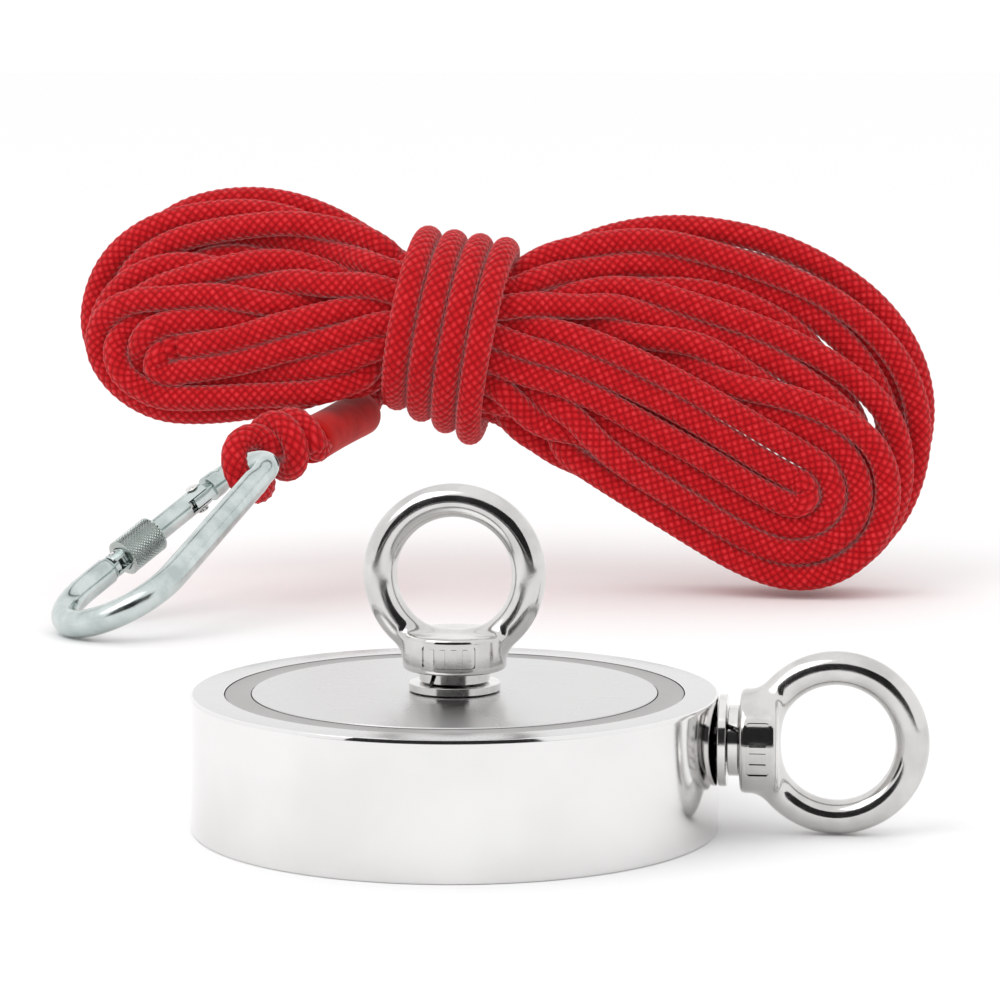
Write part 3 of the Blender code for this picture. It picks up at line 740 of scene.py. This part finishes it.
# magnet: steel pot, pole plates, resin rings
pot = {
    "radius": 0.075, "height": 0.039, "wall": 0.0097, "chamfer": 0.0008, "webHole": 0.010, "webLow": 0.0135,
    "webHigh": 0.0335, "plate": 0.0575, "gap": 0.0003, "sink": 0.0004, "dip": 0.00022, "steps": 224,
    "sideHole": 0.0263, "upperPlate": 0.003, "lowerPlate": 0.0052, "boltHole": 0.00675, "hole": 0.00615,
    "holeDepth": 0.0157, "plateEdge": 0.00025, "upperRoot": 0.0344, "lowerRoot": 0.0132,
}
sidePlace = Matrix.Translation((pot["radius"], 0, pot["sideHole"])) @ Matrix.Rotation(math.pi / 2, 4, "Y")
topPlace = Matrix.Translation((0, 0, pot["height"]))


def makeMagnet():
    steps, edge, outer, tall = pot["steps"], pot["chamfer"], pot["radius"], pot["height"]
    inner = outer - pot["wall"]
    outline = [
        (pot["webHole"], pot["webLow"]), (inner, pot["webLow"]), (inner, 0.0002), (inner + 0.0002, 0),
        (outer - edge, 0), (outer - edge * 0.35, edge * 0.2), (outer, edge), (outer, edge * 1.5),
        (outer, tall - edge * 1.5), (outer, tall - edge), (outer - edge * 0.35, tall - edge * 0.2),
        (outer - edge, tall), (inner + 0.0002, tall), (inner, tall - 0.0002),
        (inner, pot["webHigh"]), (pot["webHole"], pot["webHigh"]),
    ]
    housing = turnedPiece("steel_pot", outline, steps)
    for place in (topPlace, sidePlace):
        drill = [(pot["hole"], -pot["holeDepth"]), (pot["hole"], 0.02)]
        combine(housing, turnedPiece("drill", drill, 48, place))
    finishPiece(housing, "magnet", "polished_nickel", metals["nickel"], "pot_housing")
    housing.data.materials.append(metals["ground"])
    for face in housing.data.polygons:
        across = math.hypot(face.center.x, face.center.y)
        flat = abs(face.normal.z) > 0.9 and inner < across < outer - edge
        face.material_index = 1 if flat else 0
    for name, low, high, hole in (("upper_plate", tall - pot["upperPlate"], tall, pot["boltHole"]),
                                  ("lower_plate", 0, pot["lowerPlate"], 0)):
        radius, soft = pot["plate"], pot["plateEdge"]
        outline = [(radius - soft, low), (radius, low + soft), (radius, high - soft), (radius - soft, high)]
        if hole:
            outline = [(hole, low)] + outline + [(hole, high), (hole, low)]
        plate = turnedPiece(name, outline, steps, closed=bool(hole))
        finishPiece(plate, "magnet", "satin_nickel", metals["satin"], name.replace("plate", "pole_plate"))
    resinInner = pot["plate"] + pot["gap"]
    resinOuter = inner - pot["gap"]
    for name, face, root, sign in (("upper_resin", tall, pot["upperRoot"], 1),
                                   ("lower_resin", 0, pot["lowerRoot"], -1)):
        top = face - sign * pot["sink"]
        dip = sign * pot["dip"]
        third = (resinOuter - resinInner) / 6
        outline = [(resinInner, root), (resinInner, top), (resinInner + third, top - dip),
                   (resinInner + 3 * third, top - 1.4 * dip), (resinOuter - third, top - dip),
                   (resinOuter, top), (resinOuter, root), (resinInner, root)]
        ring = turnedPiece(name, outline, steps, closed=True)
        finishPiece(ring, "magnet", "grey_resin", resin, name + "_ring")
    for name in ("upper_ring_magnet", "lower_ring_magnet"):
        nodes[name].data.materials.clear()
        nodes[name].data.materials.append(metals["magnet"])


makeMagnet()
print("magnet made")


# eye bolts and their washers
bolt = {
    "shank": 0.00585, "shankLength": 0.0205, "pitch": 0.00175, "threadDepth": 0.0006, "collar": 0.01475,
    "collarHeight": 0.0106, "collarRound": 0.0014, "ring": 0.0212, "bar": 0.0048, "ringHeight": 0.0269,
    "fillet": 0.0030, "stack": 0.0063, "grain": 0.0006, "mark": (0.0170, 0.0078), "markLine": 0.0008,
    "markCorner": 0.0016, "markRise": 0.0004, "markRoot": 0.0006, "bars": (-0.0048, -0.0016, 0.0016, 0.0048),
    "barSize": (0.0014, 0.0046),
}
washers = {
    "inner": 0.00635, "flat": 0.013, "flatLow": 0.0003, "flatHigh": 0.0026, "spring": 0.010,
    "springLow": 0.0029, "springHigh": 0.0060, "split": 0.0014, "slant": 25, "heading": -28,
}


def boltDistance(points):
    # how far each point is outside the ring and collar, which flow into each other
    x, y, z = points.T
    aroundRing = np.hypot(x, z - bolt["ringHeight"]) - bolt["ring"]
    ring = np.hypot(aroundRing, y) - bolt["bar"]
    soft = bolt["collarRound"]
    side = np.hypot(x, y) - (bolt["collar"] - soft)
    end = np.abs(z - bolt["collarHeight"] / 2) - (bolt["collarHeight"] / 2 - soft)
    collar = np.minimum(np.maximum(side, end), 0) + np.hypot(np.maximum(side, 0), np.maximum(end, 0)) - soft
    reach = bolt["fillet"]
    mix = np.clip(0.5 + 0.5 * (collar - ring) / reach, 0, 1)
    return collar + (ring - collar) * mix - reach * mix * (1 - mix)


def pullOntoBolt(mesh):
    points = np.empty(len(mesh.vertices) * 3)
    mesh.vertices.foreach_get("co", points)
    points = points.reshape(-1, 3)
    for _ in range(3):
        away = boltDistance(points)
        slope = np.stack([(boltDistance(points + step) - away) / 1e-6 for step in np.eye(3) * 1e-6], 1)
        slope /= np.maximum(np.linalg.norm(slope, axis=1), 0.3)[:, None]
        points -= slope * away[:, None]
    mesh.vertices.foreach_set("co", points.reshape(-1))
    mesh.update()


def makeBoltBody():
    deselectAll()
    bpy.ops.mesh.primitive_torus_add(major_radius=bolt["ring"], minor_radius=bolt["bar"] + 0.0004,
                                     major_segments=96, minor_segments=32,
                                     location=(0, 0, bolt["ringHeight"]), rotation=(math.pi / 2, 0, 0))
    ring = bpy.context.active_object
    settle(ring)
    collar = turnedPiece("collar", [(bolt["collar"], 0), (bolt["collar"], bolt["collarHeight"])], 96)
    combine(collar, ring, "UNION")
    collar.data.remesh_voxel_size = bolt["grain"]
    bpy.ops.object.voxel_remesh()
    for _ in range(4):
        pullOntoBolt(collar.data)
        editAll()
        bpy.ops.mesh.vertices_smooth(factor=0.5, repeat=2)
        bpy.ops.object.mode_set(mode="OBJECT")
    pullOntoBolt(collar.data)
    return collar


def makeThread():
    # a plain rod with its points drawn in along a screw line
    low, rows = -bolt["shankLength"], 96
    outline = [(bolt["shank"], low + (0.0004 - low) * i / rows) for i in range(rows + 1)]
    rod = turnedPiece("thread", outline, 40)
    for vert in rod.data.vertices:
        across = math.hypot(vert.co.x, vert.co.y)
        turn = math.atan2(vert.co.y, vert.co.x) / (2 * math.pi)
        tooth = abs(((vert.co.z / bolt["pitch"] - turn) % 1) * 2 - 1)
        depth = bolt["threadDepth"] * (1 - min(1, tooth * 1.25))
        lead = max(0, 0.0010 - (vert.co.z - low))
        size = (bolt["shank"] - depth - lead) / across
        vert.co.x *= size
        vert.co.y *= size
    return rod


def wrapMark(piece):
    # bends a flat mark round the collar's front
    for vert in piece.data.vertices:
        turn = vert.co.x / bolt["collar"]
        out = bolt["collar"] + vert.co.y
        vert.co = (out * math.sin(turn), -out * math.cos(turn), vert.co.z)


def makeMark():
    # a raised frame with plain bars in it
    middle, root = bolt["collarHeight"] / 2, bolt["markRoot"]
    deselectAll()
    bpy.ops.mesh.primitive_plane_add(size=1, rotation=(math.pi / 2, 0, 0), location=(0, -root, middle))
    frameMark = bpy.context.active_object
    frameMark.scale = (*bolt["mark"], 1)
    settle(frameMark)
    editAll()
    bpy.ops.mesh.bevel(offset=bolt["markCorner"], segments=4, affect="VERTICES")
    bpy.ops.mesh.inset(thickness=bolt["markLine"])
    bpy.ops.mesh.delete(type="FACE")
    bpy.ops.mesh.select_all(action="SELECT")
    bpy.ops.mesh.subdivide(number_cuts=5)
    bpy.ops.mesh.extrude_region_move(TRANSFORM_OT_translate={"value": (0, root + bolt["markRise"], 0)})
    closeMesh()
    bars = []
    wide, tall = bolt["barSize"]
    for place in bolt["bars"]:
        bars.append(blockPiece("bar", (place - wide / 2, -root, middle - tall / 2),
                               (place + wide / 2, bolt["markRise"], middle + tall / 2)))
    pick(frameMark, *bars)
    bpy.ops.object.join()
    wrapMark(frameMark)
    return frameMark


def makeEyeBolts():
    body = makeBoltBody()
    pick(body, makeThread(), makeMark())
    bpy.ops.object.join()
    for side, place in (("top", topPlace), ("side", sidePlace)):
        eye = bpy.data.objects.new(side + "_lifting_eye", body.data.copy())
        bpy.context.scene.collection.objects.link(eye)
        settle(eye, place @ Matrix.Translation((0, 0, bolt["stack"])))
        finishPiece(eye, side + "_eye", "stainless_steel", metals["stainless"], side + "_eye_bolt")
        low, high = washers["flatLow"], washers["flatHigh"]
        flat = ringOutline(washers["inner"], washers["flat"], low, high, 0.0002)
        disc = turnedPiece(side + "_flat_disc", flat, 96, place, closed=True)
        finishPiece(disc, side + "_washers", "stainless_steel", metals["washer"], side + "_flat_washer")
        makeSpringWasher(side, place)
    bpy.data.objects.remove(body)


def ringOutline(inner, outer, low, high, soft):
    return [(inner, low), (outer - soft, low), (outer, low + soft), (outer, high - soft),
            (outer - soft, high), (inner, high), (inner, low)]


def makeSpringWasher(side, place):
    low, high = washers["springLow"], washers["springHigh"]
    shape = ringOutline(washers["inner"], washers["spring"], low, high, 0.0003)
    coil = turnedPiece(side + "_split_washer", shape, 96, closed=True)
    half, reach = washers["split"] / 2, 2 * washers["spring"]
    slant = Matrix.Rotation(math.radians(washers["slant"]), 4, "Y")
    heading = Matrix.Rotation(math.radians(washers["heading"]), 4, "Z")
    cut = Matrix.Translation((0, 0, (low + high) / 2)) @ slant @ heading
    saw = blockPiece("saw", (-half, -reach, -reach), (half, 0, reach), cut)
    combine(coil, saw)
    settle(coil, place)
    finishPiece(coil, side + "_washers", "stainless_steel", metals["washer"], side + "_spring_washer")


makeEyeBolts()
print("eye bolts made")


# carabiner: bent bar, gate tube, screw sleeve, rivet
clip.update({
    "tongue": 0.0044, "tongueHalf": 0.004, "tongueEnd": 0.017, "gateStart": 0.009, "gateEnd": 0.0615,
    "slotDepth": 0.007, "forkEnd": 0.020, "chamber": 0.0026, "chamberEnd": 0.044, "gap": 0.0003,
    "noseShoulder": 0.0623, "spigot": 0.0018, "hook": 0.0036, "hookHalf": 0.0036, "hookReach": 0.006,
    "latch": 0.0585, "latchPin": 0.0011, "rivet": 0.0015, "rivetHead": 0.0026, "rivetRise": 0.0008,
    "sleeveStart": 0.038, "sleeveLength": 0.0176, "sleeveInner": 0.0049, "sleeveOuter": 0.0073, "knurls": 30,
    "knurlDepth": 0.0006, "flatten": 0.90, "pitch": 0.0006, "ridges": 9, "ridgeDepth": 0.00025,
})
lying = Matrix.Rotation(math.pi / 2, 4, "Y")


def alongGate(place):
    # turns a piece made about Z so that it lies on the gate line from the place on
    return gateMatrix() @ Matrix.Translation((place, 0, 0)) @ lying


def barCentres():
    # the bar's centre line, from the hinge round both ends to the nose
    square = math.pi / 2 + clip["angle"]
    points = []
    for centre, radius, start, end, steps in ((0, clip["narrow"], square, 2 * math.pi - square, 40),
                                              (clip["pear"], clip["wide"], -square, square, 56)):
        for i in range(steps + 1):
            turn = start + (end - start) * i / steps
            points.append(Vector((centre + radius * math.cos(turn), radius * math.sin(turn), 0)))
    way = Vector((math.cos(clip["angle"]), math.sin(clip["angle"]), 0))
    spine = [points[40].lerp(points[41], i / 24) for i in range(1, 24)]
    hinge = [points[0] + way * clip["shoulder"] * (1 - i / 6) for i in range(6)]
    back = points[-1] - points[0] - way * (clip["noseShoulder"] + clip["spigot"])
    nose = [points[-1] - back * i / 6 for i in range(1, 7)]
    return hinge + points[:41] + spine + points[41:] + nose


def makeBentBar():
    deselectAll()
    bpy.ops.curve.primitive_nurbs_path_add()
    path = bpy.context.active_object
    path.data.splines.clear()
    line = path.data.splines.new("POLY")
    centres = barCentres()
    line.points.add(len(centres) - 1)
    for knotPoint, centre in zip(line.points, centres):
        knotPoint.co = (*centre, 1)
    path.data.dimensions = "3D"
    path.data.bevel_depth = clip["bar"] / 2
    path.data.bevel_resolution = 14
    path.data.use_fill_caps = True
    bpy.ops.object.convert(target="MESH")
    bar = bpy.context.active_object
    bar.name = "bent_bar"
    editAll()
    bpy.ops.mesh.remove_doubles(threshold=0.00001)
    closeMesh()
    for vert in bar.data.vertices:  # the narrow end is pressed a little flatter, down to a step
        ended = 0.0035 if vert.co.y < 0 else -0.0010
        if vert.co.x < ended:
            share = min(1, (ended - vert.co.x) / 0.0012)
            vert.co.z *= 1 - (1 - clip["flatten"]) * share
    softenEdges(bar, 0.0005, 2, 60)
    settle(bar, clipMatrix())
    return bar


def makeClipBody():
    bar = makeBentBar()
    at = gateMatrix()
    half = clip["tongue"] / 2
    tongue = blockPiece("tongue", (clip["shoulder"] - 0.002, -clip["tongueHalf"], -half),
                        (clip["tongueEnd"], clip["tongueHalf"], half), at)
    softenEdges(tongue, 0.0004)
    combine(bar, tongue, "UNION")
    pin, place = clip["rivet"] + clip["gap"], at @ Matrix.Translation((clip["pivot"], 0, 0))
    combine(bar, turnedPiece("drill", [(pin, -0.004), (pin, 0.004)], 32, place))
    spigot = threadedRod("spigot", clip["gate"], clip["spigot"] + 0.001, clip["pitch"], 0.0003)
    settle(spigot, alongGate(clip["noseShoulder"]))
    combine(bar, spigot, "UNION")
    half = clip["hook"] / 2
    hook = blockPiece("hook", (clip["noseShoulder"] - clip["hookReach"], -clip["hookHalf"], -half),
                      (clip["noseShoulder"] + 0.001, clip["hookHalf"], half), at)
    softenEdges(hook, 0.0005)
    combine(bar, hook, "UNION")
    latch, room = clip["latch"], clip["latchPin"] + clip["gap"]
    combine(bar, blockPiece("notch", (latch - room, -0.006, -0.006), (latch + room, room, 0.006), at))
    finishPiece(bar, "carabiner", "zinc_plate", metals["zinc"], "carabiner_body")


def threadedRod(name, radius, length, pitch, depth):
    # fine turned ridges
    outline = []
    rows = max(2, round(length / pitch))
    step = length / rows
    for i in range(rows):
        start = length * i / rows
        outline += [(radius - depth, start), (radius, start + step * 0.35), (radius, start + step * 0.65)]
    outline.append((radius - depth, length))
    return turnedPiece(name, outline, 56)


def makeGate():
    # made along X and then laid on the gate line
    length = clip["gateEnd"] - clip["gateStart"]
    edge = 0.0004
    radius = clip["gate"]
    ridged = []
    for i in range(clip["ridges"]):
        start = length - 0.0058 + clip["pitch"] * i
        ridged += [(radius - clip["ridgeDepth"], start), (radius, start + 0.0002), (radius, start + 0.0004)]
    outline = [(radius - edge, 0), (radius, edge), (radius, length - 0.0062)]
    outline += ridged + [(radius - edge, length)]
    gate = turnedPiece("gate_bar", outline, 64, Matrix.Translation((clip["gateStart"], 0, 0)) @ lying)
    slot = clip["tongue"] / 2 + clip["gap"]
    combine(gate, blockPiece("fork", (0, -0.01, -slot), (clip["forkEnd"], 0.01, slot)))
    low = clip["forkEnd"] - 0.001
    bore = [(clip["chamber"], 0), (clip["chamber"], clip["chamberEnd"] - low)]
    combine(gate, turnedPiece("drill", bore, 32, Matrix.Translation((low, 0, 0)) @ lying))
    slot = clip["hook"] / 2 + clip["gap"]
    combine(gate, blockPiece("slot", (clip["gateEnd"] - clip["slotDepth"], -0.01, -slot),
                             (clip["gateEnd"] + 0.01, 0.01, slot)))
    for place, size in ((clip["pivot"], clip["rivet"]), (clip["latch"], clip["latchPin"])):
        drill = [(size + clip["gap"], -0.01), (size + clip["gap"], 0.01)]
        combine(gate, turnedPiece("drill", drill, 32, Matrix.Translation((place, 0, 0))))
    softenEdges(gate, 0.00012, 1, 50)
    settle(gate, gateMatrix())
    finishPiece(gate, "gate", "zinc_plate", metals["zinc"], "gate_tube")
    stem, head = radius + clip["gap"], radius + clip["gap"] + clip["rivetRise"]
    dome = clip["rivetHead"]
    outline = [(dome * 0.45, -head), (dome * 0.85, -head + 0.00025), (dome, -stem), (clip["rivet"], -stem),
               (clip["rivet"], stem), (dome, stem), (dome * 0.85, head - 0.00025), (dome * 0.45, head)]
    rivet = turnedPiece("gate_rivet", outline, 40, gateMatrix() @ Matrix.Translation((clip["pivot"], 0, 0)))
    finishPiece(rivet, "carabiner", "stainless_steel", metals["washer"], "hinge_rivet")


def makeSleeve():
    # crossed ridges cut into the sleeve's outside, plain at both ends
    outer, inner, length = clip["sleeveOuter"], clip["sleeveInner"], clip["sleeveLength"]
    rows = 88
    outline = [(inner, 0), (outer - 0.0007, 0)]
    outline += [(outer, 0.0004 + (length - 0.0008) * i / rows) for i in range(rows + 1)]
    outline += [(outer - 0.0007, length), (inner, length), (inner, 0)]
    sleeve = turnedPiece("knurled_sleeve", outline, clip["knurls"] * 8, closed=True)
    around = 2 * math.pi * outer / clip["knurls"]
    for vert in sleeve.data.vertices:
        across = math.hypot(vert.co.x, vert.co.y)
        if across < outer - 0.0001:
            continue
        turn = math.atan2(vert.co.y, vert.co.x) / (2 * math.pi) * clip["knurls"]
        climb = vert.co.z / around
        left = abs(((turn + climb) % 1) * 2 - 1)
        right = abs(((turn - climb) % 1) * 2 - 1)
        ends = min(1, (vert.co.z - 0.0004) / 0.0006, (length - 0.0004 - vert.co.z) / 0.0006)
        depth = clip["knurlDepth"] * (1 - min(1, 1.5 * min(left, right))) * max(0, ends)
        vert.co.x *= (outer - depth) / across
        vert.co.y *= (outer - depth) / across
    settle(sleeve, alongGate(clip["sleeveStart"]))
    finishPiece(sleeve, "sleeve", "zinc_plate", metals["knurl"], "locking_sleeve")


def makeShrinkTube():
    # drawn tight over two strands, so it is a little waisted and its mouths turn in
    length = (tubeEnd - tubeStart).length
    outline = [(0.0062, 0.0006), (0.0080, 0.0001), (0.0090, 0.0004), (0.0094, 0.0014)]
    mouth = outline[-1][1]
    for i in range(1, 12):
        part = i / 12
        outline.append((0.0095 - 0.0004 * math.sin(math.pi * part), mouth + (length - 2 * mouth) * part))
    outline += [(across, length - along) for across, along in reversed(outline[:4])]
    way = tubeEnd - tubeStart
    aim = Matrix.Translation(tubeStart) @ way.to_track_quat("Z", "Y").to_matrix().to_4x4()
    tube = turnedPiece("shrink_sleeve", outline, 72)
    for vert in tube.data.vertices:
        size = 1 - 0.035 * math.sin(math.atan2(vert.co.y, vert.co.x)) ** 2
        vert.co.x *= size
        vert.co.y *= size
    settle(tube, aim)
    finishPiece(tube, "rope", "shrink_plastic", shrinkLook, "shrink_tube")
    return tube


makeClipBody()
makeGate()
makeSleeve()
for name in ("gate_spring", "spring_plunger", "latch_pin"):
    nodes[name].data.materials.clear()
    nodes[name].data.materials.append(metals["washer"])
print("carabiner made")
shrinkPiece = makeShrinkTube()


# floor, light and surroundings
studio = {"floor": 0.90, "sky": 1.10, "key": 12, "dark": 0.025}


def stageCard(name, size, place, turn, tone, seen=False):
    bpy.ops.mesh.primitive_plane_add(size=1, location=place, rotation=turn)
    card = bpy.context.active_object
    card.name = name
    card.scale = (size[0], size[1], 1)
    made, _, shader = newMaterial(name, (tone, tone, tone), 0.9, 0)
    shader.inputs["Specular IOR Level"].default_value = 0
    card.data.materials.append(made)
    if not seen:  # only reflections show it
        card.visible_camera = False
        card.visible_diffuse = False
        card.visible_shadow = False


def makeStudio():
    deselectAll()
    stageCard("floor", (60, 60), (0, 0, 0), (0, 0, 0), studio["floor"], True)
    stageCard("dark_wall", (2.4, 1.2), (0.1, -1.35, 0.62), (math.pi / 2, 0, 0), studio["dark"])
    stageCard("dark_ground", (2.4, 0.85), (0.1, -0.93, 0.001), (0, 0, 0), studio["dark"])
    stageCard("dark_back", (3.2, 1.0), (0, 1.35, 1.35), (math.pi / 4, 0, 0), 0.04)
    bpy.ops.object.light_add(type="AREA", location=(-1.0, -1.0, 1.6), rotation=(0.7, 0, -0.7))
    key = bpy.context.active_object.data
    key.size = 1.5
    key.energy = studio["key"]
    world = bpy.data.worlds.new("studio")
    bpy.context.scene.world = world
    world.use_nodes = True
    world.node_tree.nodes["Background"].inputs["Color"].default_value = (1, 1, 1, 1)
    world.node_tree.nodes["Background"].inputs["Strength"].default_value = studio["sky"]
    bpy.context.scene.view_settings.view_transform = "Standard"
    ropePiece.visible_glossy = False


makeStudio()
print("studio ready")
